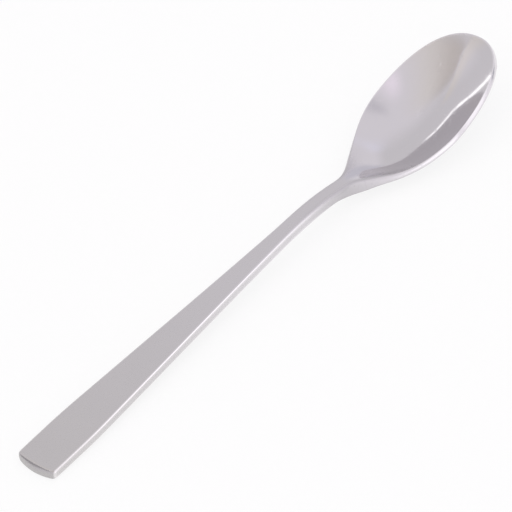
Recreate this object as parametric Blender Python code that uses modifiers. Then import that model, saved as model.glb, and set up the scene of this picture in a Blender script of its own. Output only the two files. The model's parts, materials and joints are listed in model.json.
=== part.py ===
"""Dinner spoon in plain polished steel: a handle, a neck and a bowl, in metres with +Z up.

The spoon lies along X, with the handle's butt at -X and the bowl's tip at +X, and it is the same on both
sides of Y = 0. It rests on the bowl's underside and on the butt, and its origin is at the bottom middle of
its box. Each piece starts as a box that is divided into cells. The top face follows the outline seen from
above, the side line with its two bends, and the bowl's hollow, and the underside lies one thickness below.
"""

import math

import bmesh
import bpy
from mathutils import Matrix, Vector

# Lengths along the top face: butt to shoulder, shoulder to heel, heel to tip
HANDLE_LENGTH = 0.1068
NECK_LENGTH = 0.0272
BOWL_LENGTH = 0.0652

# Widths of the top face, and how far the bowl's widest place lies behind its tip
BUTT_WIDTH = 0.0173
NECK_WIDTH = 0.0055
BOWL_WIDTH = 0.0383
TIP_TO_WIDEST = 0.0309

# Thicknesses, the run past the heel over which the steel thins, and the depth of the hollow below the rim
BUTT_THICKNESS = 0.00265
NECK_THICKNESS = 0.0034
BOWL_WALL = 0.00175
THINNING_RUN = 0.018
BOWL_DEPTH = 0.0076

# The swell under the heel: its place past the heel, how far it reaches each way, and its extra thickness
SWELL_AT = 0.001
SWELL_REACH = 0.008
SWELL = 0.001

# The bend down in the neck, past the shoulder, and the bend up in the bowl, past the heel
NECK_BEND_AT = 0.0196
NECK_BEND_SPAN = 0.0363
NECK_BEND_ANGLE = math.radians(16.7)
HEEL_BEND_AT = 0.014
HEEL_BEND_SPAN = 0.0182
RIM_RISE_ANGLE = math.radians(11.9)

# The plan curves: where the handle starts to taper, and how it eases into the taper, the neck and the flare
TAPER_START = 0.018
TAPER_EASE = 0.016
SHOULDER_EASE = 0.012
FLARE_EASE = 0.0056
FLARE_POWER = 1.88
EGG_POWER = 2.29

# The hollow's curves: the run down from the tip, the run down from the heel, and the round of its floor
TIP_SOFTNESS = 1.4
HEEL_POWER = 1.65
HEEL_SOFTNESS = 1.6
FLOOR_ROUND = 0.67

# The butt's end: a shallow arc with round corners, whose lower edge stands out past the top face
BUTT_BULGE = 0.0004
BUTT_CORNER = 0.0008
END_OVERHANG = 0.0018
OVERHANG_RUN = 0.012
OVERHANG_FALL = 0.5

# Rounded edges of the handle and neck, and of the bowl's rim, and what the top edge gains around the heel
TOP_EDGE_RADIUS = 0.0005
UNDER_EDGE_RADIUS = 0.0008
RIM_TOP_RADIUS = 0.0002
RIM_UNDER_RADIUS = 0.0005
HEEL_ROUNDING = 0.0006
HEEL_ROUNDING_REACH = 0.02
ROUND_SEGMENTS = 2

# The gap between pieces that meet
JOINT_GAP = 0.0003

# Cells along each piece, cells across them all, and the width of the outer cells that the edges are cut into
HANDLE_ROWS = 16
NECK_ROWS = 12
BOWL_ROWS = 30
CELLS_ACROSS = 16
EDGE_CELL = 0.0015
BUTT_CROWDING = 1.5

# Polished steel, as seen on each piece
HANDLE_COLOUR = (0.56, 0.54, 0.55, 1.0)
NECK_COLOUR = (0.58, 0.55, 0.58, 1.0)
BOWL_COLOUR = (0.60, 0.57, 0.61, 1.0)
HANDLE_ROUGHNESS = 0.28
NECK_ROUGHNESS = 0.24
BOWL_ROUGHNESS = 0.16

# Places along the spoon that follow from the lengths
SHOULDER = HANDLE_LENGTH
HEEL = SHOULDER + NECK_LENGTH
TIP = HEEL + BOWL_LENGTH
WIDEST = TIP - TIP_TO_WIDEST

# The widest rounding of any edge
LARGEST_RADIUS = max(UNDER_EDGE_RADIUS, TOP_EDGE_RADIUS + HEEL_ROUNDING)

# A step for slopes, and the rounds in which the resting tilt settles
SLOPE_STEP = 1e-5
REST_ROUNDS = 12


def run_past_bend(x, at, span):
    """Distance run past a bend: nothing before it, all of it after it, and eased over its span."""
    share = min(max((x - at) / span + 0.5, 0.0), 1.0)
    if share == 1.0:
        return x - at
    return span * (share**3 - share**4 / 2)


def smooth_larger(first, second, ease):
    """The larger of two widths, with the corner where they cross filled over an ease."""
    fill = max(ease - abs(first - second), 0.0)
    return max(first, second) + fill**2 / (4 * ease)


def half_width(x):
    """Half the width of the top face at a place along the spoon."""
    if x > WIDEST:
        ahead = min((x - WIDEST) / TIP_TO_WIDEST, 1.0)
        return BOWL_WIDTH / 2 * (1 - ahead**EGG_POWER) ** (1 / EGG_POWER)
    taper = (BUTT_WIDTH - NECK_WIDTH) / 2 / (SHOULDER - TAPER_START)
    tapered = run_past_bend(x, TAPER_START, TAPER_EASE) - run_past_bend(x, SHOULDER, SHOULDER_EASE)
    bar = BUTT_WIDTH / 2 - taper * tapered
    behind = min((WIDEST - x) / (WIDEST - HEEL), 1.0)
    flare = BOWL_WIDTH / 2 * (1 - behind**FLARE_POWER)
    return smooth_larger(bar, flare, FLARE_EASE)


def side_line(x):
    """Height of the rim and of the handle's top, seen from the side, with the handle level."""
    down = math.tan(NECK_BEND_ANGLE)
    up = math.tan(RIM_RISE_ANGLE)
    neck = run_past_bend(x, SHOULDER + NECK_BEND_AT, NECK_BEND_SPAN)
    heel = run_past_bend(x, HEEL + HEEL_BEND_AT, HEEL_BEND_SPAN)
    return (down + up) * heel - down * neck


def hollow_share(x, y):
    """Share of the bowl's full depth at a point: one at the deepest place, none along the rim."""
    if x > WIDEST:
        ahead = min((x - WIDEST) / TIP_TO_WIDEST, 1.0)
        run_down = (1 - ahead**EGG_POWER) ** TIP_SOFTNESS
    else:
        behind = min((WIDEST - x) / (WIDEST - HEEL), 1.0)
        run_down = (1 - behind**HEEL_POWER) ** HEEL_SOFTNESS
    if run_down == 0.0:
        return 0.0
    climb = math.hypot(y / half_width(x), FLOOR_ROUND) - FLOOR_ROUND
    climb_to_rim = math.hypot(1.0, FLOOR_ROUND) - FLOOR_ROUND
    return run_down * (1 - climb / climb_to_rim)


def top_height(x, y):
    """Height of the top face above the level handle."""
    return side_line(x) - BOWL_DEPTH * hollow_share(x, y)


def into_bowl(x):
    """Eased share of the run past the heel over which the neck's section turns into the bowl's wall."""
    share = min(max((x - HEEL) / THINNING_RUN, 0.0), 1.0)
    return share**2 * (3 - 2 * share)


def thickness(x):
    """Thickness of the steel: growing along the handle, swelling at the heel, thinning into the bowl."""
    if x < SHOULDER:
        return BUTT_THICKNESS + (NECK_THICKNESS - BUTT_THICKNESS) * x / SHOULDER
    off_swell = min(abs(x - HEEL - SWELL_AT) / SWELL_REACH, 1.0)
    swell = SWELL * (1 - off_swell**2) ** 2
    return NECK_THICKNESS + (BOWL_WALL - NECK_THICKNESS) * into_bowl(x) + swell


def edge_radius(x, on_top):
    """Radius of the rounded edge of one face: that of the handle and neck, easing to that of the rim."""
    if on_top:
        off_heel = min(abs(x - HEEL) / HEEL_ROUNDING_REACH, 1.0)
        softened = TOP_EDGE_RADIUS + HEEL_ROUNDING * (1 - off_heel**2) ** 2
        return softened + (RIM_TOP_RADIUS - TOP_EDGE_RADIUS) * into_bowl(x)
    return UNDER_EDGE_RADIUS + (RIM_UNDER_RADIUS - UNDER_EDGE_RADIUS) * into_bowl(x)


def end_overhang(x, y):
    """How far the underside stands out past the top face near the butt: most in the middle of the end."""
    fade = max(1 - x / OVERHANG_RUN, 0.0) ** 2
    return END_OVERHANG * fade * (1 - OVERHANG_FALL * (2 * y / BUTT_WIDTH) ** 2)


def steel_point(x, y, on_top):
    """A point of the top face, or the point of the underside that lies below it."""
    top = Vector((x, y, top_height(x, y)))
    if on_top:
        return top
    along = (top_height(x + SLOPE_STEP, y) - top_height(x - SLOPE_STEP, y)) / (2 * SLOPE_STEP)
    across = (top_height(x, y + SLOPE_STEP) - top_height(x, y - SLOPE_STEP)) / (2 * SLOPE_STEP)
    square = Vector((-along, -across, 1.0)).normalized()
    return top - thickness(x) * square - Vector((end_overhang(x, y), 0.0, 0.0))


def column_place(across, half):
    """Place of a column of points across the steel, with outer cells that leave room for round edges."""
    inner = 1 - 2 / CELLS_ACROSS
    within = min(abs(across) / inner, 1.0) * (half - EDGE_CELL)
    beyond = max((abs(across) - inner) / (1 - inner), 0.0) * EDGE_CELL
    return math.copysign(within + beyond, across)


def neck_plan(along, across):
    """Plan of the neck, between its two joint faces."""
    start = SHOULDER + JOINT_GAP / 2
    end = HEEL - JOINT_GAP / 2
    x = start + (end - start) * along
    return x, column_place(across, half_width(x))


def handle_plan(along, across):
    """Plan of the handle: its first row of points is the butt's end, with the round corners."""
    corner_middle = BUTT_CORNER * (1 - math.sqrt(0.5))
    joint = SHOULDER - JOINT_GAP / 2
    x = corner_middle + (joint - corner_middle) * along**BUTT_CROWDING
    to_corner = max(BUTT_CORNER - x, 0.0)
    inset = BUTT_CORNER - math.sqrt(BUTT_CORNER**2 - to_corner**2)
    half = half_width(x) - inset
    y = column_place(across, half)
    end_y = abs(y) / half * (BUTT_WIDTH / 2 - corner_middle)
    past_corner = max(end_y - (BUTT_WIDTH / 2 - BUTT_CORNER), 0.0)
    end_x = BUTT_CORNER - math.sqrt(BUTT_CORNER**2 - past_corner**2)
    fade = max(1 - (x - corner_middle) / (BUTT_WIDTH / 2), 0.0) ** 2
    return x + fade * (end_x - corner_middle + BUTT_BULGE * (y / half) ** 2), y


def bowl_plan(along, across):
    """Plan of the bowl: its first row is the joint face and its last row is the round of the tip."""
    corner_share = 0.5 ** (1 / EGG_POWER)
    joint = HEEL + JOINT_GAP / 2
    corner = WIDEST + corner_share * TIP_TO_WIDEST
    x = joint + (corner - joint) * along
    y = column_place(across, half_width(x))
    tip_share = 1 - abs(y / half_width(x) * corner_share) ** EGG_POWER
    tip_x = WIDEST + TIP_TO_WIDEST * tip_share ** (1 / EGG_POWER)
    return x + (tip_x - corner) * along**3, y


def divided_box(rows):
    """A box of 0 to 1 along X, -1 to 1 across Y and 0 to 1 up Z, divided into rows and cells across."""
    bm = bmesh.new()
    to_unit = Matrix.Translation((0.5, 0.0, 0.5)) @ Matrix.Diagonal((1.0, 2.0, 1.0, 1.0))
    bmesh.ops.create_cube(bm, size=1.0, matrix=to_unit)
    for axis, cells in ((0, rows), (1, CELLS_ACROSS)):
        edges = [e for e in bm.edges if abs(e.verts[0].co[axis] - e.verts[1].co[axis]) > 0.5]
        bmesh.ops.subdivide_edges(bm, edges=edges, cuts=cells - 1, use_grid_fill=True)
    return bm


def mark_round_edges(bm, plan, round_ends):
    """Give the long edges, and the edges of the round ends, their share of the bevel's width."""
    weights = bm.edges.layers.float.new("bevel_weight_edge")
    for edge in bm.edges:
        a, b = (vertex.co for vertex in edge.verts)
        if abs(a.z - b.z) > 0.5:
            continue
        on_side = abs(a.y) > 0.999 and abs(a.y - b.y) < 0.5 / CELLS_ACROSS
        on_end = any(abs(a.x - end) < 1e-4 and abs(b.x - end) < 1e-4 for end in round_ends)
        if on_side or on_end:
            middle = (a + b) / 2
            x = plan(middle.x, middle.y)[0]
            edge[weights] = edge_radius(x, middle.z > 0.5) / LARGEST_RADIUS


def steel_material(name, colour, roughness):
    """Polished steel of one piece."""
    material = bpy.data.materials.new(name)
    material.use_nodes = True
    shader = material.node_tree.nodes["Principled BSDF"]
    shader.inputs["Base Color"].default_value = colour
    shader.inputs["Metallic"].default_value = 1.0
    shader.inputs["Roughness"].default_value = roughness
    return material


def steel_piece(name, plan, rows, round_ends, material, collection):
    """One piece of the spoon: a divided box laid on its plan, with rounded edges."""
    bm = divided_box(rows)
    mark_round_edges(bm, plan, round_ends)
    for vertex in bm.verts:
        x, y = plan(vertex.co.x, vertex.co.y)
        vertex.co = steel_point(x, y, vertex.co.z > 0.5)
    mesh = bpy.data.meshes.new(name)
    bm.to_mesh(mesh)
    bm.free()
    mesh.shade_smooth()
    mesh.materials.append(material)
    piece = bpy.data.objects.new(name, mesh)
    collection.objects.link(piece)
    bevel = piece.modifiers.new("rounded_edges", "BEVEL")
    bevel.limit_method = "WEIGHT"
    bevel.width = LARGEST_RADIUS
    bevel.segments = ROUND_SEGMENTS
    bevel.use_clamp_overlap = False
    return piece


def finished_points(pieces):
    """Every vertex of the pieces with their modifiers applied, before they are stood on the table."""
    depsgraph = bpy.context.evaluated_depsgraph_get()
    points = []
    for piece in pieces:
        points += [vertex.co.copy() for vertex in piece.evaluated_get(depsgraph).data.vertices]
    return points


def resting_place(points):
    """Turn the spoon until the butt and the bowl's underside are level, and put its box on the origin."""
    turn = Matrix.Identity(4)
    for _ in range(REST_ROUNDS):
        turned = [turn @ point for point in points]
        under_handle = min((p for p, q in zip(turned, points) if q.x < SHOULDER), key=lambda p: p.z)
        under_bowl = min((p for p, q in zip(turned, points) if q.x > HEEL), key=lambda p: p.z)
        slope = math.atan2(under_bowl.z - under_handle.z, under_bowl.x - under_handle.x)
        turn = Matrix.Rotation(slope, 4, "Y") @ turn
    turned = [turn @ point for point in points]
    middle_x = (min(p.x for p in turned) + max(p.x for p in turned)) / 2
    lowest = min(p.z for p in turned)
    return Matrix.Translation((-middle_x, 0.0, -lowest)) @ turn


def build():
    """Make the three pieces and stand them on the table."""
    for old in list(bpy.data.objects):
        bpy.data.objects.remove(old)
    spoon = bpy.data.collections.new("dinner_spoon")
    bpy.context.scene.collection.children.link(spoon)
    handle_steel = steel_material("handle_steel", HANDLE_COLOUR, HANDLE_ROUGHNESS)
    neck_steel = steel_material("neck_steel", NECK_COLOUR, NECK_ROUGHNESS)
    bowl_steel = steel_material("bowl_steel", BOWL_COLOUR, BOWL_ROUGHNESS)
    pieces = [
        steel_piece("handle", handle_plan, HANDLE_ROWS, (0.0,), handle_steel, spoon),
        steel_piece("neck", neck_plan, NECK_ROWS, (), neck_steel, spoon),
        steel_piece("bowl", bowl_plan, BOWL_ROWS, (1.0,), bowl_steel, spoon),
    ]
    rest = bpy.data.objects.new("spoon_rest", None)
    spoon.objects.link(rest)
    rest.matrix_world = resting_place(finished_points(pieces))
    for piece in pieces:
        piece.parent = rest


build()
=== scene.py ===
"""Looks of the dinner spoon: smooth polished steel for its handle, neck and bowl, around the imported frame.

The real spoon is one piece of steel, so one smooth blank is shaped from the named sizes, rested where the
frame's handle rests, and cut at the shoulder and at the heel. Each cut piece keeps the blank's normals, so
the cuts don't show, and stands for the node of the same name. The studio around it is a white floor under a
pale lilac surround, with cards that the steel mirrors and the camera doesn't see.
"""

import json
import logging
import math
from dataclasses import dataclass
from enum import Enum
from typing import Any

import bmesh
import bpy
from mathutils import Matrix, Vector


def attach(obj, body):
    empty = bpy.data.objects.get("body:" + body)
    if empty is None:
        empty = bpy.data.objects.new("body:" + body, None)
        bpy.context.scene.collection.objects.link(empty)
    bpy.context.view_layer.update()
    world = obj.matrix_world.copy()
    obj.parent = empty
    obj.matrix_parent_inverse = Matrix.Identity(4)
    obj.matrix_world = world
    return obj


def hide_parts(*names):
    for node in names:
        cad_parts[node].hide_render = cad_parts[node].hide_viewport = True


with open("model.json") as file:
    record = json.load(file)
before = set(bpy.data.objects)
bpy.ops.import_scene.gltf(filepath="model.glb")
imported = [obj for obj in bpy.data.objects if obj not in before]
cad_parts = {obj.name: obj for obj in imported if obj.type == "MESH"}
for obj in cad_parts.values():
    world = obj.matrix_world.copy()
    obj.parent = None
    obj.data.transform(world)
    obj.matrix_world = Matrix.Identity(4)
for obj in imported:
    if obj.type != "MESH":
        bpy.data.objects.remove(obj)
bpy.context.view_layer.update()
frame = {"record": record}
LOG = logging.getLogger("dinner_spoon")

# Vertex layers of a piece: the blank's own normal, and the two marks that the finish reads
NORMAL_LAYER = "blank_normal"
EDGE_LAYER = "edge_nearness"
END_LAYER = "end_facing"

# Nearness of a point on the outline itself, half the height of the divided box, and a noise's middle value
OUTLINE = 1.0
HALF_BOX = 0.5
NOISE_MIDDLE = 0.5

# Corners of a face of the smooth blank, and how near to a cut a vertex counts as on it
CELL_CORNERS = 4
CUT_TOLERANCE = 1e-7

# Numbers of a Mix node's colour sockets, among those that it has for each kind of data
MIX_SHARE = 0
MIX_FIRST = 6
MIX_SECOND = 7
MIX_RESULT = 2

Colour = tuple[float, float, float]
Size = tuple[float, float, float]
Direction = tuple[float, float]

WHITE: Colour = (1.0, 1.0, 1.0)
BLACK: Colour = (0.0, 0.0, 0.0)


class Part(Enum):
    """The pieces that the blank is cut into, by the name of the node that each one stands for."""

    HANDLE = "handle"
    NECK = "neck"
    BOWL = "bowl"

    @property
    def slot(self) -> str:
        """The record's material slot of this piece."""
        return f"{self.value}_steel"


class Face(Enum):
    """The two broad faces of the blank, by their height in the divided box."""

    TOP = 1.0
    UNDER = 0.0


@dataclass(frozen=True)
class Bend:
    """One bend of the side line: where its middle lies, over what length it eases, and its angle."""

    at: float
    span: float
    angle: float

    def run_past(self, x: float) -> float:
        """Measure how far a place lies past the bend, eased over its span.

        Args:
            x: Place along the spoon, from the butt.

        Returns:
            Nothing before the bend and the whole distance after it.
        """
        share = min(max((x - self.at) / self.span + 0.5, 0.0), 1.0)
        if share == 1.0:
            return x - self.at
        return self.span * (share**3 - share**4 / 2)


@dataclass(frozen=True)
class SpoonForm:
    """The spoon's sizes in metres, and its curves, with the handle level and X running from the butt."""

    # Plan
    handle_length: float = 0.1068
    neck_length: float = 0.0272
    bowl_length: float = 0.0652
    butt_width: float = 0.0173
    neck_width: float = 0.0055
    bowl_width: float = 0.0383
    tip_to_widest: float = 0.0309
    # Thickness, with a swell at the heel
    butt_thickness: float = 0.00265
    neck_thickness: float = 0.0034
    bowl_wall: float = 0.00175
    thinning_run: float = 0.018
    swell_past_heel: float = 0.001
    swell_reach: float = 0.008
    swell: float = 0.001
    # Depth of the hollow and bends of the side line
    bowl_depth: float = 0.0076
    neck_bend_past_shoulder: float = 0.0196
    neck_bend_span: float = 0.0363
    neck_bend_angle: float = math.radians(16.7)
    heel_bend_past_heel: float = 0.014
    heel_bend_span: float = 0.0182
    rim_rise_angle: float = math.radians(11.9)
    # Curves of the plan and of the hollow
    taper_start: float = 0.018
    taper_ease: float = 0.016
    shoulder_ease: float = 0.012
    flare_ease: float = 0.0056
    flare_power: float = 1.88
    egg_power: float = 2.29
    tip_softness: float = 1.4
    heel_power: float = 1.65
    heel_softness: float = 1.6
    floor_round: float = 0.67
    # Cut end of the butt
    butt_bulge: float = 0.0004
    butt_corner: float = 0.0008
    end_overhang: float = 0.0018
    overhang_run: float = 0.012
    overhang_fall: float = 0.5
    # Rounded edges, softer on top at the heel
    top_edge_radius: float = 0.0007
    under_edge_radius: float = 0.0008
    rim_top_radius: float = 0.0002
    rim_under_radius: float = 0.0005
    heel_rounding: float = 0.0006
    heel_rounding_reach: float = 0.02
    # Step over which slopes are measured
    slope_step: float = 1e-5

    @property
    def shoulder(self) -> float:
        """Place where the handle ends and the neck starts."""
        return self.handle_length

    @property
    def heel(self) -> float:
        """Place where the neck ends and the bowl starts."""
        return self.shoulder + self.neck_length

    @property
    def tip(self) -> float:
        """Place of the bowl's tip."""
        return self.heel + self.bowl_length

    @property
    def widest(self) -> float:
        """Place where the bowl is widest."""
        return self.tip - self.tip_to_widest

    @property
    def largest_radius(self) -> float:
        """The largest radius of any edge."""
        return max(self.under_edge_radius, self.top_edge_radius + self.heel_rounding)

    def half_width(self, x: float) -> float:
        """Half the width of the top face.

        Args:
            x: Place along the spoon.

        Returns:
            Distance from the middle line to the edge.
        """
        half_bowl = self.bowl_width / 2
        if x > self.widest:
            ahead = min((x - self.widest) / self.tip_to_widest, 1.0)
            return half_bowl * (1 - ahead**self.egg_power) ** (1 / self.egg_power)
        taper = (self.butt_width - self.neck_width) / 2 / (self.shoulder - self.taper_start)
        start = Bend(self.taper_start, self.taper_ease, math.atan(taper))
        end = Bend(self.shoulder, self.shoulder_ease, -start.angle)
        bar = self.butt_width / 2 - taper * (start.run_past(x) - end.run_past(x))
        behind = min((self.widest - x) / (self.widest - self.heel), 1.0)
        flare = half_bowl * (1 - behind**self.flare_power)
        # The wider of the two, with the corner between them filled
        fill = max(self.flare_ease - abs(bar - flare), 0.0)
        return max(bar, flare) + fill**2 / (4 * self.flare_ease)

    def edge_nearness(self, x: float, y: float) -> float:
        """Measure how near a point of the plan lies to the spoon's outline.

        Args:
            x: Place along the spoon.
            y: Place across it.

        Returns:
            Nothing on the middle line and one at the outline.
        """
        if x <= self.widest:
            return abs(y) / self.half_width(x)
        ahead = (x - self.widest) / self.tip_to_widest
        aside = abs(y) / (self.bowl_width / 2)
        return (ahead**self.egg_power + aside**self.egg_power) ** (1 / self.egg_power)

    def side_line(self, x: float) -> float:
        """Height of the rim and of the handle's top, seen from the side.

        Args:
            x: Place along the spoon.

        Returns:
            Height above the level handle.
        """
        neck = Bend(self.shoulder + self.neck_bend_past_shoulder, self.neck_bend_span, self.neck_bend_angle)
        heel = Bend(self.heel + self.heel_bend_past_heel, self.heel_bend_span, self.rim_rise_angle)
        down = math.tan(neck.angle)
        up = math.tan(heel.angle)
        return (down + up) * heel.run_past(x) - down * neck.run_past(x)

    def side_slope(self, x: float) -> float:
        """Slope of the side line at a place along the spoon."""
        step = self.slope_step
        return (self.side_line(x + step) - self.side_line(x - step)) / (2 * step)

    def hollow_share(self, x: float, y: float) -> float:
        """Share of the bowl's full depth at a point.

        Args:
            x: Place along the spoon.
            y: Place across it.

        Returns:
            One at the deepest place and nothing along the rim.
        """
        if x > self.widest:
            ahead = min((x - self.widest) / self.tip_to_widest, 1.0)
            run_down = (1 - ahead**self.egg_power) ** self.tip_softness
        else:
            behind = min((self.widest - x) / (self.widest - self.heel), 1.0)
            run_down = (1 - behind**self.heel_power) ** self.heel_softness
        if run_down == 0.0:
            return 0.0
        climb = math.hypot(y / self.half_width(x), self.floor_round) - self.floor_round
        climb_to_rim = math.hypot(1.0, self.floor_round) - self.floor_round
        return run_down * (1 - climb / climb_to_rim)

    def top_height(self, x: float, y: float) -> float:
        """Height of the top face at a point of the plan."""
        return self.side_line(x) - self.bowl_depth * self.hollow_share(x, y)

    def into_bowl(self, x: float) -> float:
        """Eased share of the run past the heel over which the neck's section turns into the bowl's wall."""
        share = min(max((x - self.heel) / self.thinning_run, 0.0), 1.0)
        return share**2 * (3 - 2 * share)

    def thickness(self, x: float) -> float:
        """Thickness of the steel: growing along the handle, swelling at the heel, thinning into the bowl.

        Args:
            x: Place along the spoon.

        Returns:
            Thickness square to the top face.
        """
        if x < self.shoulder:
            return self.butt_thickness + (self.neck_thickness - self.butt_thickness) * x / self.shoulder
        off_swell = min(abs(x - self.heel - self.swell_past_heel) / self.swell_reach, 1.0)
        swell = self.swell * (1 - off_swell**2) ** 2
        return self.neck_thickness + (self.bowl_wall - self.neck_thickness) * self.into_bowl(x) + swell

    def edge_radius(self, x: float, face: Face) -> float:
        """Radius of the rounded edge of one face.

        Args:
            x: Place along the spoon.
            face: Which of the two faces.

        Returns:
            The radius of the handle and neck, softer on top at the heel, easing to that of the bowl's rim.
        """
        if face is Face.TOP:
            off_heel = min(abs(x - self.heel) / self.heel_rounding_reach, 1.0)
            softened = self.top_edge_radius + self.heel_rounding * (1 - off_heel**2) ** 2
            return softened + (self.rim_top_radius - self.top_edge_radius) * self.into_bowl(x)
        return self.under_edge_radius + (self.rim_under_radius - self.under_edge_radius) * self.into_bowl(x)

    def overhang(self, x: float, y: float) -> float:
        """Measure how far the underside stands out past the top face near the butt.

        Args:
            x: Place along the spoon.
            y: Place across it.

        Returns:
            The overhang, which is largest in the middle of the butt's end.
        """
        fade = max(1 - x / self.overhang_run, 0.0) ** 2
        return self.end_overhang * fade * (1 - self.overhang_fall * (2 * y / self.butt_width) ** 2)

    def point(self, x: float, y: float, face: Face) -> Vector:
        """A point of the top face, or the point of the underside that lies below it.

        Args:
            x: Place along the spoon.
            y: Place across it.
            face: Which of the two faces.

        Returns:
            The point, with the handle level.
        """
        top = Vector((x, y, self.top_height(x, y)))
        if face is Face.TOP:
            return top
        step = self.slope_step
        along = (self.top_height(x + step, y) - self.top_height(x - step, y)) / (2 * step)
        across = (self.top_height(x, y + step) - self.top_height(x, y - step)) / (2 * step)
        square = Vector((-along, -across, 1.0)).normalized()
        return top - self.thickness(x) * square - Vector((self.overhang(x, y), 0.0, 0.0))

    def resting_place(self, record: dict[str, Any]) -> Matrix:
        """Work out where the level spoon rests, from the record's flat face on the handle's top.

        Args:
            record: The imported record.

        Returns:
            The move from the level spoon to the frame.
        """
        mount = next(m for m in record["mounts"] if m["name"] == "handle_top")
        tilt = math.atan2(mount["axis"][0], mount["axis"][2])
        middle = Vector((self.handle_length / 2, 0.0, 0.0))
        to_mount = Matrix.Translation(mount["pos_m"]) @ Matrix.Rotation(tilt, 4, "Y")
        return to_mount @ Matrix.Translation(-middle)


@dataclass(frozen=True)
class Blank:
    """The whole spoon as one smooth closed mesh, before it is cut into its pieces."""

    form: SpoonForm
    rows_along: int = 84
    cells_across: int = 16
    edge_reach: float = 1.8
    round_segments: int = 2
    smoothing: int = 2

    def row(self, along: float, first: float, last: float, face: Face) -> float:
        """Lay a row of the divided box along the spoon, with narrow end rows for crisp end edges.

        Args:
            along: Share of the rows, from 0 to 1.
            first: Place of the first row.
            last: Place of the last row.
            face: Which of the two faces.

        Returns:
            The row's place along the spoon.
        """
        end_row = 1 / self.rows_along
        inner = (along - end_row) / (1 - 2 * end_row)
        start = first + self.edge_reach * self.form.edge_radius(first, face)
        end = last - self.edge_reach * self.form.edge_radius(last, face)
        if inner < 0.0:
            return first + (start - first) * along / end_row
        if inner > 1.0:
            return last - (last - end) * (1 - along) / end_row
        return start + (end - start) * inner

    def column(self, across: float, x: float, half: float, face: Face) -> float:
        """Lay a column of the divided box across the spoon, with narrow outer columns for crisp edges.

        Args:
            across: Share of the half width, from -1 to 1.
            x: Place along the spoon.
            half: The half width there.
            face: Which of the two faces.

        Returns:
            The column's place across the spoon.
        """
        inner = 1 - 2 / self.cells_across
        inside = half - self.edge_reach * self.form.edge_radius(x, face)
        out = min(abs(across) / inner, 1.0) * inside
        out += max((abs(across) - inner) / (1 - inner), 0.0) * (half - inside)
        return math.copysign(out, across)

    def plan(self, along: float, across: float, face: Face) -> tuple[float, float]:
        """Lay a point of the divided box on the spoon's plan.

        Args:
            along: Share of the rows, from the butt's end to the round of the tip.
            across: Share of the half width, from -1 to 1.
            face: Which of the two faces.

        Returns:
            The point's place along and across the spoon.
        """
        form = self.form
        # The box's corners lie midway round the butt's corners and midway round the curve of the tip
        corner_inset = form.butt_corner * (1 - math.sqrt(0.5))
        tip_share = 0.5 ** (1 / form.egg_power)
        tip_corner = form.widest + tip_share * form.tip_to_widest
        x = self.row(along, corner_inset, tip_corner, face)
        # Across the spoon, the half width draws in round the butt's corners
        to_corner = max(form.butt_corner - x, 0.0)
        inset = form.butt_corner - math.sqrt(form.butt_corner**2 - to_corner**2)
        half = form.half_width(x) - inset
        y = self.column(across, x, half, face)
        # The rows near the butt follow its round corners and its bulge
        end_y = abs(y) / half * (form.butt_width / 2 - corner_inset)
        past_corner = max(end_y - (form.butt_width / 2 - form.butt_corner), 0.0)
        butt_x = form.butt_corner - math.sqrt(form.butt_corner**2 - past_corner**2)
        butt_fade = max(1 - (x - corner_inset) / (form.butt_width / 2), 0.0) ** 2
        # The rows of the bowl bend more and more to the curve of the tip
        front = (1 - abs(y / half * tip_share) ** form.egg_power) ** (1 / form.egg_power)
        tip_x = form.widest + form.tip_to_widest * front
        tip_fade = max((x - form.heel) / (tip_corner - form.heel), 0.0) ** 3
        x += butt_fade * (butt_x - corner_inset + form.butt_bulge * (y / half) ** 2)
        return x + tip_fade * (tip_x - tip_corner), y

    def divided_box(self) -> bmesh.types.BMesh:
        """Make a box of 0 to 1 along, -1 to 1 across and 0 to 1 up.

        Returns:
            The box, divided into cells along and across.
        """
        bm = bmesh.new()
        stretch = Matrix.Diagonal((1.0, 2.0, 1.0, 1.0))
        to_unit = Matrix.Translation((HALF_BOX, 0.0, HALF_BOX)) @ stretch
        bmesh.ops.create_cube(bm, size=1.0, matrix=to_unit)
        for axis, cells in ((0, self.rows_along), (1, self.cells_across)):
            edges = [e for e in bm.edges if abs(e.verts[0].co[axis] - e.verts[1].co[axis]) > HALF_BOX]
            bmesh.ops.subdivide_edges(bm, edges=edges, cuts=cells - 1, use_grid_fill=True)
        return bm

    def rim_edges(self, bm: bmesh.types.BMesh, face: Face) -> list[bmesh.types.BMEdge]:
        """The edges around the top face or around the underside, while the box is still square.

        Args:
            bm: The divided box.
            face: Which of the two faces.

        Returns:
            The edges between that face and the sides and ends.
        """
        broad = [f for f in bm.faces if all(abs(v.co.z - face.value) < HALF_BOX for v in f.verts)]
        seen: dict[bmesh.types.BMEdge, int] = {}
        for cell in broad:
            for edge in cell.edges:
                seen[edge] = seen.get(edge, 0) + 1
        return [edge for edge, count in seen.items() if count == 1]

    def shape(self) -> bpy.types.Mesh:
        """Shape the blank: lay the box on its plan, round its edges and smooth it.

        Returns:
            The blank's mesh, with the handle level.
        """
        bm = self.divided_box()
        weights = bm.edges.layers.float.new("bevel_weight_edge")
        for face in Face:
            for edge in self.rim_edges(bm, face):
                middle = (edge.verts[0].co + edge.verts[1].co) / 2
                x, _ = self.plan(middle.x, middle.y, face)
                edge[weights] = self.form.edge_radius(x, face) / self.form.largest_radius
        for vertex in bm.verts:
            face = Face.TOP if vertex.co.z > HALF_BOX else Face.UNDER
            x, y = self.plan(vertex.co.x, vertex.co.y, face)
            vertex.co = self.form.point(x, y, face)
        mesh = bpy.data.meshes.new("spoon_blank")
        bm.to_mesh(mesh)
        bm.free()
        return self.smoothed(mesh)

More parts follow.
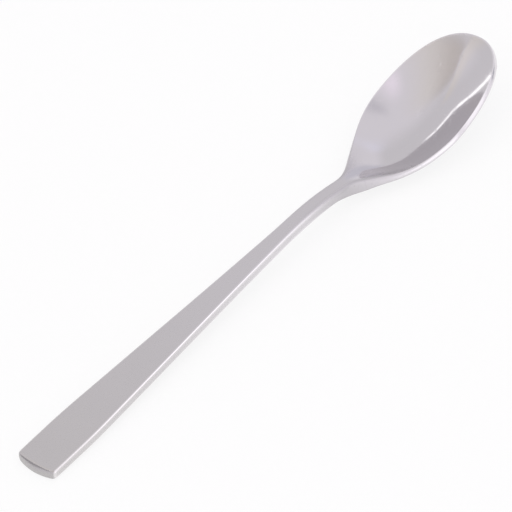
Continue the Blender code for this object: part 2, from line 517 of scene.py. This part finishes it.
    def smoothed(self, cage: bpy.types.Mesh) -> bpy.types.Mesh:
        """Round a cage's marked edges and smooth it with a subdivision surface.

        Args:
            cage: The blank's coarse mesh.

        Returns:
            The smooth mesh.
        """
        blank = bpy.data.objects.new("spoon_blank", cage)
        bpy.context.scene.collection.objects.link(blank)
        edges = blank.modifiers.new("rounded_edges", "BEVEL")
        edges.limit_method = "WEIGHT"
        edges.width = self.form.largest_radius
        edges.segments = self.round_segments
        edges.use_clamp_overlap = False
        rounder = blank.modifiers.new("smooth", "SUBSURF")
        rounder.levels = self.smoothing
        rounder.render_levels = self.smoothing
        depsgraph = bpy.context.evaluated_depsgraph_get()
        smooth = bpy.data.meshes.new_from_object(blank.evaluated_get(depsgraph))
        bpy.data.objects.remove(blank)
        bpy.data.meshes.remove(cage)
        return smooth


class Field:
    """A shader value: a socket with operators, so that an expression adds its own Math nodes."""

    def __init__(self, bench: "NodeBench", socket: bpy.types.NodeSocket) -> None:
        """Wrap one output socket of a bench's node tree."""
        self.bench = bench
        self.socket = socket

    def maths(self, operation: str, first: "Field | float", second: "Field | float") -> "Field":
        """Add one Math node on two values."""
        return self.bench.add("ShaderNodeMath", {"operation": operation}, {0: first, 1: second})

    def __add__(self, other: "Field | float") -> "Field":
        """This value plus another."""
        return self.maths("ADD", self, other)

    def __radd__(self, other: float) -> "Field":
        """A number plus this value."""
        return self.maths("ADD", other, self)

    def __sub__(self, other: "Field | float") -> "Field":
        """This value less another."""
        return self.maths("SUBTRACT", self, other)

    def __rsub__(self, other: float) -> "Field":
        """A number less this value."""
        return self.maths("SUBTRACT", other, self)

    def __mul__(self, other: "Field | float") -> "Field":
        """This value times another."""
        return self.maths("MULTIPLY", self, other)

    def __rmul__(self, other: float) -> "Field":
        """A number times this value."""
        return self.maths("MULTIPLY", other, self)


class NodeBench:
    """Adds nodes to one node tree."""

    def __init__(self, owner: "bpy.types.Material | bpy.types.World") -> None:
        """Clear a node tree and work on it.

        Args:
            owner: The material or world whose tree it is.
        """
        owner.use_nodes = True
        self.tree = owner.node_tree
        self.tree.nodes.clear()

    def add(
        self,
        kind: str,
        settings: dict[str, Any] | None = None,
        sockets: dict[int | str, Any] | None = None,
        output: int | str = 0,
    ) -> Field:
        """Add one node.

        Args:
            kind: The node's type.
            settings: Its settings, which are set first.
            sockets: Values or fields for its input sockets, by name or number.
            output: The output socket that is wanted.

        Returns:
            That output as a field, or the node's own input where it has no output.
        """
        node = self.tree.nodes.new(kind)
        for name, value in (settings or {}).items():
            setattr(node, name, value)
        for name, value in (sockets or {}).items():
            if isinstance(value, Field):
                self.tree.links.new(value.socket, node.inputs[name])
            else:
                node.inputs[name].default_value = value
        ends = node.outputs if node.outputs else node.inputs
        return Field(self, ends[output])

    def mix(self, share: Field, first: Colour, second: Colour) -> Field:
        """Blend two colours by a share from 0 to 1."""
        sockets = {MIX_SHARE: share, MIX_FIRST: (*first, 1.0), MIX_SECOND: (*second, 1.0)}
        return self.add("ShaderNodeMix", {"data_type": "RGBA"}, sockets, MIX_RESULT)

    def ramp(self, value: Field, start: float, end: float) -> Field:
        """Ease a value from 0 at a start to 1 at an end, which may be the lower of the two."""
        sockets = {"Value": value, "From Min": start, "From Max": end}
        return self.add("ShaderNodeMapRange", {"interpolation_type": "SMOOTHSTEP"}, sockets)


@dataclass(frozen=True)
class SteelFinish:
    """Polished stainless steel, graded from a satin butt to a bright bowl.

    Polishing lines run along the spoon, hairline scratches cross it and smudges dull it in patches. The
    sides are a little lighter and rougher than the broad faces. The rounded edges of the handle and neck
    carry a painted highlight, and a painted highlight makes the bowl's rim lighter than the sides. The steel
    beside the heel is rougher and darkened with painted shade, and the cut end of the butt is darkened with
    painted shade. Lengths are in metres, and places along the spoon are the frame's.
    """

    # Grade from the butt to the bowl
    butt_colour: Colour = (0.585, 0.567, 0.568)
    bowl_colour: Colour = (0.625, 0.605, 0.625)
    butt_roughness: float = 0.2
    bowl_roughness: float = 0.09
    colour_start: float = -0.11
    colour_end: float = 0.02
    polish_start: float = -0.02
    polish_end: float = 0.05
    # Polishing lines, smudges, scratches and ripples
    line_length: float = 0.008
    line_width: float = 0.0002
    line_height: float = 0.0000013
    line_roughness: float = 0.05
    line_detail: float = 2.0
    smudge_size: float = 0.02
    smudge_roughness: float = 0.05
    smudge_shade: float = 0.05
    smudge_detail: float = 3.0
    scratch_length: float = 0.012
    scratch_spacing: float = 0.0015
    scratch_share: float = 0.012
    scratch_turns: tuple[float, ...] = (math.radians(12.0), math.radians(-38.0), math.radians(70.0))
    scratch_roughness: float = 0.12
    ripple_size: float = 0.014
    ripple_height: float = 0.00001
    # Sides, rounded edges, rim, heel and cut end: painted highlight on the rounded edges and rim, painted
    # shade at the heel and cut end
    edge_start: float = 0.97
    edge_roughness: float = 0.08
    edge_lift: float = 0.1
    # Painted highlight: lighter colour on the rounded edges of the handle and neck
    painted_highlight_inside: float = 0.91
    painted_highlight_middle: float = 0.965
    painted_highlight_lift: float = 0.45
    # Painted highlight: lighter colour on the bowl's rim
    painted_rim_start: float = 0.04
    painted_rim_full: float = 0.06
    painted_rim_highlight: float = 0.14
    heel_start: float = 0.006
    heel_middle: float = 0.035
    heel_end: float = 0.056
    heel_inside: float = 0.38
    heel_outside: float = 0.85
    heel_roughness: float = 0.38
    # Painted shade: darker colour beside the heel, where the steel is also rougher
    heel_shade: float = 0.12
    # Painted shade: darker colour on the cut end of the butt
    end_start: float = 0.2
    end_full: float = 0.6
    end_shade: float = 0.15

    def noise(
        self,
        bench: NodeBench,
        place: Field,
        size: Size,
        turn: float = 0.0,
        detail: float = 0.0,
    ) -> Field:
        """Add a noise whose patches have a given size.

        Args:
            bench: The material's bench.
            place: The point on the steel.
            size: Size of the patches along, across and up.
            turn: Turn of the patches about the vertical.
            detail: Number of finer layers.

        Returns:
            The noise, from 0 to 1.
        """
        scale = tuple(1 / length for length in size)
        turned = bench.add("ShaderNodeMapping", {}, {"Vector": place, "Rotation": (0.0, 0.0, turn)})
        scaled = bench.add("ShaderNodeMapping", {}, {"Vector": turned, "Scale": scale})
        return bench.add("ShaderNodeTexNoise", {}, {"Vector": scaled, "Scale": 1.0, "Detail": detail})

    def scratches(self, bench: NodeBench, place: Field) -> Field | float:
        """Add hairline scratches in a few directions, each where a stretched noise has its middle value.

        Args:
            bench: The material's bench.
            place: The point on the steel.

        Returns:
            One on a scratch, more where scratches cross, and nothing off them.
        """
        size = (self.scratch_length, self.scratch_spacing, self.scratch_length)
        scratches: Field | float = 0.0
        for turn in self.scratch_turns:
            wander = self.noise(bench, place, size, turn)
            off_line = bench.add("ShaderNodeMath", {"operation": "ABSOLUTE"}, {0: wander - NOISE_MIDDLE})
            scratches = scratches + bench.ramp(off_line, self.scratch_share, 0.0)
        return scratches

    def wear_and_painted_light(self, bench: NodeBench, along: Field, nearness: Field) -> tuple[Field, Field]:
        """Work out how the sides, rounded edges, rim and heel differ from the broad faces, painted light
        included.

        Args:
            bench: The material's bench.
            along: Place along the spoon.
            nearness: Nearness to the outline.

        Returns:
            What they add to the shade, painted highlight and painted shade among it, and what they add to
            the roughness.
        """
        edge = bench.ramp(nearness, self.edge_start, OUTLINE)
        # Painted highlight: lighter colour on the rounded edges of the handle and neck
        painted_highlight = bench.ramp(nearness, self.painted_highlight_inside, self.painted_highlight_middle)
        painted_highlight = painted_highlight * bench.ramp(nearness, OUTLINE, self.painted_highlight_middle)
        painted_highlight = painted_highlight * bench.ramp(along, self.heel_middle, self.heel_start)
        # Painted highlight: lighter colour on the bowl's rim
        rim = edge * bench.ramp(along, self.painted_rim_start, self.painted_rim_full)
        # Beside the heel the steel is rougher and darkened with painted shade
        heel = bench.ramp(along, self.heel_start, self.heel_middle)
        heel = heel * bench.ramp(along, self.heel_end, self.heel_middle)
        heel = heel * bench.ramp(nearness, self.heel_inside, self.heel_outside)
        lift = self.edge_lift * edge + self.painted_highlight_lift * painted_highlight + self.painted_rim_highlight * rim
        shade = lift - self.heel_shade * heel
        roughness = self.edge_roughness * edge + self.heel_roughness * heel
        return shade, roughness

    def material(self, name: str) -> bpy.types.Material:
        """Make the finish.

        Args:
            name: Name of the material.

        Returns:
            The new material.
        """
        material = bpy.data.materials.new(name)
        bench = NodeBench(material)
        place = bench.add("ShaderNodeTexCoord", {}, {}, "Object")
        along = bench.add("ShaderNodeSeparateXYZ", {}, {0: place}, "X")
        nearness = bench.add("ShaderNodeAttribute", {"attribute_name": EDGE_LAYER}, {}, "Fac")
        facing = bench.add("ShaderNodeAttribute", {"attribute_name": END_LAYER}, {}, "Fac")
        colour_share = bench.ramp(along, self.colour_start, self.colour_end)
        polish_share = bench.ramp(along, self.polish_start, self.polish_end)
        end_face = bench.ramp(facing, self.end_start, self.end_full)
        edge_tone_and_painted_light, edge_roughness = self.wear_and_painted_light(bench, along, nearness)
        line_size = (self.line_length, self.line_width, self.line_width)
        lines = self.noise(bench, place, line_size, detail=self.line_detail)
        smudges = self.noise(bench, place, (self.smudge_size,) * 3, detail=self.smudge_detail)
        ripples = self.noise(bench, place, (self.ripple_size,) * 3)
        # Smudges vary the tone at random, and the cut end is darkened with painted shade
        shade = 1.0 - self.smudge_shade * (smudges - NOISE_MIDDLE) - self.end_shade * end_face
        # The edges add their wear, painted highlight and painted shade
        shade = shade + edge_tone_and_painted_light
        graded = bench.mix(colour_share, self.butt_colour, self.bowl_colour)
        colour = bench.add("ShaderNodeVectorMath", {"operation": "SCALE"}, {0: graded, "Scale": shade})
        roughness = self.butt_roughness + (self.bowl_roughness - self.butt_roughness) * polish_share
        roughness = roughness + self.line_roughness * (lines - NOISE_MIDDLE)
        roughness = roughness + self.smudge_roughness * (smudges - NOISE_MIDDLE)
        roughness = roughness + self.scratch_roughness * self.scratches(bench, place)
        roughness = roughness + edge_roughness
        height = self.line_height * lines + self.ripple_height * ripples
        relief = bench.add("ShaderNodeBump", {}, {"Strength": 1.0, "Distance": 1.0, "Height": height})
        steel = bench.add(
            "ShaderNodeBsdfPrincipled",
            {},
            {"Base Color": colour, "Metallic": 1.0, "Roughness": roughness, "Normal": relief},
        )
        bench.add("ShaderNodeOutputMaterial", {}, {"Surface": steel})
        return material


@dataclass(frozen=True)
class SteelPiece:
    """One piece cut from the blank, with its finish."""

    part: Part
    finish: SteelFinish
    starts: float | None
    ends: float | None

    def marked_copy(self, blank: bpy.types.Mesh, form: SpoonForm) -> bmesh.types.BMesh:
        """Copy the blank, and mark each vertex with its normal and with what the finish reads.

        Args:
            blank: The whole spoon's mesh, with the handle level.
            form: The spoon's sizes.

        Returns:
            The copy, with the marks as vertex layers.
        """
        bm = bmesh.new()
        bm.from_mesh(blank)
        bm.normal_update()
        kept = bm.verts.layers.float_vector.new(NORMAL_LAYER)
        nearness = bm.verts.layers.float.new(EDGE_LAYER)
        facing = bm.verts.layers.float.new(END_LAYER)
        for vertex in bm.verts:
            vertex[kept] = vertex.normal
            vertex[nearness] = form.edge_nearness(vertex.co.x, vertex.co.y)
            vertex[facing] = max(-vertex.normal.x, 0.0) if vertex.co.x < form.overhang_run else 0.0
        return bm

    def trim(self, bm: bmesh.types.BMesh, form: SpoonForm) -> None:
        """Cut a copy of the blank off at the piece's ends, square to the side line, and close the cuts.

        Args:
            bm: The copy.
            form: The spoon's sizes.
        """
        for place, outward in ((self.starts, -1.0), (self.ends, 1.0)):
            if place is None:
                continue
            bmesh.ops.bisect_plane(
                bm,
                geom=bm.verts[:] + bm.edges[:] + bm.faces[:],
                dist=CUT_TOLERANCE,
                plane_co=(place, 0.0, form.side_line(place)),
                plane_no=(outward, 0.0, outward * form.side_slope(place)),
                clear_outer=True,
            )
            open_edges = [edge for edge in bm.edges if edge.is_boundary]
            bmesh.ops.holes_fill(bm, edges=open_edges, sides=0)

    def build(self, blank: bpy.types.Mesh, form: SpoonForm, rest: Matrix) -> bpy.types.Object:
        """Cut the piece from the blank, and keep the blank's normals on all but the cuts.

        Args:
            blank: The whole spoon's mesh, with the handle level.
            form: The spoon's sizes.
            rest: The move to where the spoon rests.

        Returns:
            The piece, in its place in the frame.
        """
        bm = self.marked_copy(blank, form)
        self.trim(bm, form)
        bm.transform(rest)
        bm.normal_update()
        kept = bm.verts.layers.float_vector[NORMAL_LAYER]
        turn = rest.to_3x3()
        normals = []
        for face in bm.faces:
            face.smooth = True
            is_cut = len(face.verts) > CELL_CORNERS
            for vertex in face.verts:
                normals.append(face.normal.copy() if is_cut else (turn @ vertex[kept]).normalized())
        mesh = bpy.data.meshes.new(self.part.slot)
        bm.to_mesh(mesh)
        bm.free()
        mesh.normals_split_custom_set(normals)
        piece = bpy.data.objects.new(self.part.slot, mesh)
        bpy.context.scene.collection.objects.link(piece)
        return piece

    def dress(self, piece: bpy.types.Object) -> None:
        """Give the piece its finish, named for its slot, hang it on the root body and hide its node's part.

        Args:
            piece: The piece that was built.
        """
        piece.data.materials.append(self.finish.material(self.part.slot))
        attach(piece, "root")
        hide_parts(self.part.value)
        LOG.info("%s: %d faces for node %s", piece.name, len(piece.data.polygons), self.part.value)


def stage_square(name: str, half: float, place: Matrix, material: bpy.types.Material) -> bpy.types.Object:
    """Put up a flat square of the studio, which isn't part of the spoon.

    Args:
        name: Name of the square.
        half: Half of its side, before it is placed.
        place: The move to its place.
        material: Its material.

    Returns:
        The square.
    """
    bm = bmesh.new()
    bmesh.ops.create_grid(bm, x_segments=1, y_segments=1, size=half)
    mesh = bpy.data.meshes.new(name)
    bm.to_mesh(mesh)
    bm.free()
    mesh.materials.append(material)
    square = bpy.data.objects.new(name, mesh)
    square.matrix_world = place
    bpy.context.scene.collection.objects.link(square)
    return square


@dataclass(frozen=True)
class StudioCard:
    """A card far off around the spoon that tints the surround behind it and adds a glow of its own.

    It reaches from one direction to another, each an azimuth from +X and an elevation, and its half width
    is an angle too, all in degrees. The fades are the shares of the card over which it eases in from its
    start, its end, its left and its right. The distance is in metres.
    """

    name: str
    start: Direction
    end: Direction
    half_width: float
    tint: Colour = WHITE
    glow: Colour = BLACK
    fades: tuple[float, float, float, float] = (0.5, 0.5, 0.5, 0.5)
    distance: float = 3.0

    def end_point(self, direction: Direction) -> Vector:
        """Find the point at the card's distance in a direction.

        Args:
            direction: Azimuth and elevation in degrees.

        Returns:
            The point, in metres.
        """
        azimuth, elevation = (math.radians(angle) for angle in direction)
        level = self.distance * math.cos(elevation)
        height = self.distance * math.sin(elevation)
        return Vector((level * math.cos(azimuth), level * math.sin(azimuth), height))

    def placing(self) -> Matrix:
        """Work out the card's place.

        Returns:
            The move from a square of -1 to 1 to the card, with its face to the spoon.
        """
        first = self.end_point(self.start)
        last = self.end_point(self.end)
        middle = (first + last) / 2
        along = (last - first) / 2
        toward = -middle.normalized()
        across = along.cross(toward).normalized() * self.distance * math.tan(math.radians(self.half_width))
        return Matrix.Translation(middle) @ Matrix((along, across, toward)).transposed().to_4x4()

    def material(self) -> bpy.types.Material:
        """Make the card's tint and glow, eased in from its edges.

        Returns:
            The new material.
        """
        material = bpy.data.materials.new(self.name)
        bench = NodeBench(material)
        place = bench.add("ShaderNodeTexCoord", {}, {}, "Object")
        along = bench.add("ShaderNodeSeparateXYZ", {}, {0: place}, "X")
        across = bench.add("ShaderNodeSeparateXYZ", {}, {0: place}, "Y")
        at_start, at_end, at_left, at_right = (2 * fade for fade in self.fades)
        mask = bench.ramp(along, -1.0, at_start - 1.0) * bench.ramp(along, 1.0, 1.0 - at_end)
        mask = mask * bench.ramp(across, -1.0, at_left - 1.0) * bench.ramp(across, 1.0, 1.0 - at_right)
        tint = bench.mix(mask, WHITE, self.tint)
        glow = bench.mix(mask, BLACK, self.glow)
        behind = bench.add("ShaderNodeBsdfTransparent", {}, {"Color": tint})
        light = bench.add("ShaderNodeEmission", {}, {"Color": glow, "Strength": 1.0})
        both = bench.add("ShaderNodeAddShader", {}, {0: behind, 1: light})
        bench.add("ShaderNodeOutputMaterial", {}, {"Surface": both})
        return material

    def build(self) -> None:
        """Hang the card where the camera doesn't see it."""
        card = stage_square(self.name, 1.0, self.placing(), self.material())
        card.visible_camera = False


@dataclass(frozen=True)
class Studio:
    """A white floor under a pale lilac surround, with cards that shape what the steel mirrors."""

    cards: tuple[StudioCard, ...]
    floor_half: float = 2.0
    floor_drop: float = 0.00005
    shadow_share: float = 0.2
    surround: Colour = (0.96, 0.935, 0.975)

    def floor_material(self) -> bpy.types.Material:
        """Make a white that glows by itself, with a share of matt white that takes the spoon's shadow.

        Returns:
            The new material.
        """
        material = bpy.data.materials.new("studio_white")
        bench = NodeBench(material)
        glow = bench.add("ShaderNodeEmission", {}, {"Color": (*WHITE, 1.0), "Strength": 1.0})
        matt = bench.add("ShaderNodeBsdfDiffuse", {}, {"Color": (*WHITE, 1.0)})
        white = bench.add("ShaderNodeMixShader", {}, {0: self.shadow_share, 1: glow, 2: matt})
        bench.add("ShaderNodeOutputMaterial", {}, {"Surface": white})
        return material

    def build(self) -> None:
        """Lay the floor just below the spoon, light the surround and hang the cards."""
        below = Matrix.Translation((0.0, 0.0, -self.floor_drop))
        stage_square("studio_floor", self.floor_half, below, self.floor_material())
        world = bpy.data.worlds.new("studio_surround")
        bpy.context.scene.world = world
        bench = NodeBench(world)
        surround = bench.add("ShaderNodeBackground", {}, {"Color": (*self.surround, 1.0), "Strength": 1.0})
        bench.add("ShaderNodeOutputWorld", {}, {"Surface": surround})
        for card in self.cards:
            card.build()


STUDIO_CARDS = (
    StudioCard(
        "rear_shade", (72.0, -3.0), (72.0, 84.0), 26.6,
        tint=(0.87, 0.875, 0.862), fades=(0.02, 0.4, 0.22, 0.19),
    ),
    StudioCard(
        "heel_shade", (36.0, -5.0), (36.0, 27.0), 11.0,
        tint=(0.81, 0.82, 0.86), fades=(0.02, 0.35, 0.4, 0.3),
    ),
    StudioCard(
        "warm_veil", (-95.0, 77.0), (138.0, 45.8), 19.0,
        tint=(0.97, 0.955, 0.885), fades=(0.5, 0.02, 0.4, 0.05),
    ),
    StudioCard(
        "beige_panel", (172.0, 77.0), (138.0, 45.8), 17.5,
        tint=(0.79, 0.77, 0.75), fades=(1.0, 0.02, 0.25, 0.05),
    ),
    StudioCard(
        "warm_edge", (114.0, 48.0), (110.0, 34.0), 14.0,
        tint=(1.0, 0.99, 0.95), glow=(0.06, 0.045, 0.02), fades=(0.02, 0.8, 0.3, 0.3),
    ),
    StudioCard(
        "pink_spot", (-96.0, 60.0), (-96.0, 82.0), 6.0,
        glow=(0.42, 0.31, 0.42), fades=(0.1, 0.5, 0.5, 0.5),
    ),
    StudioCard(
        "shade_spot", (-72.0, 70.0), (-28.0, 70.0), 8.0,
        tint=(0.8, 0.8, 0.82),
    ),
    StudioCard(
        "lilac_glow", (5.0, 45.0), (30.0, 62.0), 12.0,
        glow=(0.04, 0.05, 0.1),
    ),
    StudioCard(
        "rear_strip", (65.0, 23.2), (83.0, 18.4), 2.2,
        glow=(1.0, 1.0, 1.0), fades=(0.3, 0.1, 0.2, 0.2),
    ),
    StudioCard(
        "rear_post", (82.5, 18.0), (79.8, 4.0), 1.15,
        glow=(1.2, 1.2, 1.2), fades=(0.05, 0.3, 0.15, 0.15),
    ),
    StudioCard(
        "front_lamp", (-61.0, 27.0), (-58.0, 62.0), 13.0,
        glow=(0.45, 0.45, 0.45), fades=(0.15, 0.2, 0.25, 0.12),
    ),
    StudioCard(
        "tip_lamp", (-62.0, 6.0), (-61.0, 30.0), 12.0,
        glow=(0.3, 0.3, 0.3), fades=(0.12, 0.25, 0.2, 0.12),
    ),
    StudioCard(
        "tip_flag", (-16.0, -2.0), (-16.0, 24.0), 20.0,
        tint=(0.5, 0.52, 0.54), fades=(0.05, 0.3, 0.2, 0.2),
    ),
    StudioCard(
        "rim_lamp", (-105.0, 0.0), (-105.0, 38.0), 22.0,
        glow=(0.42, 0.42, 0.42), fades=(0.05, 0.5, 0.15, 0.15),
    ),
    StudioCard(
        "butt_flag", (130.0, 3.0), (130.0, 40.0), 9.0,
        tint=(0.5, 0.5, 0.5), fades=(0.1, 0.2, 0.2, 0.2),
    ),
)


@dataclass(frozen=True)
class PhotoCamera:
    """The camera, at the photograph's angle to the spoon's level handle."""

    azimuth: float = math.radians(-29.22)
    elevation: float = math.radians(39.41)
    roll: float = math.radians(-23.61)
    distance: float = 0.9
    aim: tuple[float, float, float] = (0.09483, -0.00023, 0.0)
    image_pixels: int = 512
    focal_pixels: float = 2988.2
    sensor_width: float = 36.0

    def build(self, rest: Matrix) -> None:
        """Set up the camera and make it the scene's own.

        Args:
            rest: The move from the level spoon to the frame.
        """
        level = math.cos(self.elevation)
        back_x = math.sin(self.azimuth) * level
        back_y = -math.cos(self.azimuth) * level
        back = Vector((back_x, back_y, math.sin(self.elevation)))
        right = Vector((0.0, 0.0, 1.0)).cross(back).normalized()
        turn = Matrix((right, back.cross(right), back)).transposed() @ Matrix.Rotation(self.roll, 3, "Z")
        data = bpy.data.cameras.new("photo_camera")
        data.sensor_width = self.sensor_width
        data.lens = self.focal_pixels / self.image_pixels * self.sensor_width
        camera = bpy.data.objects.new("photo_camera", data)
        place = Matrix.Translation(Vector(self.aim) + self.distance * back)
        camera.matrix_world = rest @ place @ turn.to_4x4()
        bpy.context.scene.collection.objects.link(camera)
        bpy.context.scene.camera = camera


def main() -> None:
    """Build the spoon, light it, and report each piece."""
    logging.basicConfig(level=logging.INFO, format="%(message)s")
    form = SpoonForm()
    blank = Blank(form).shape()
    rest = form.resting_place(frame["record"])
    finish = SteelFinish()
    pieces = (
        SteelPiece(Part.HANDLE, finish, None, form.shoulder),
        SteelPiece(Part.NECK, finish, form.shoulder, form.heel),
        SteelPiece(Part.BOWL, finish, form.heel, None),
    )
    for piece in pieces:
        piece.dress(piece.build(blank, form, rest))
    bpy.data.meshes.remove(blank)
    Studio(STUDIO_CARDS).build()
    PhotoCamera().build(rest)
    bpy.context.scene.view_settings.view_transform = "Standard"


if __name__ == "__main__":
    main()
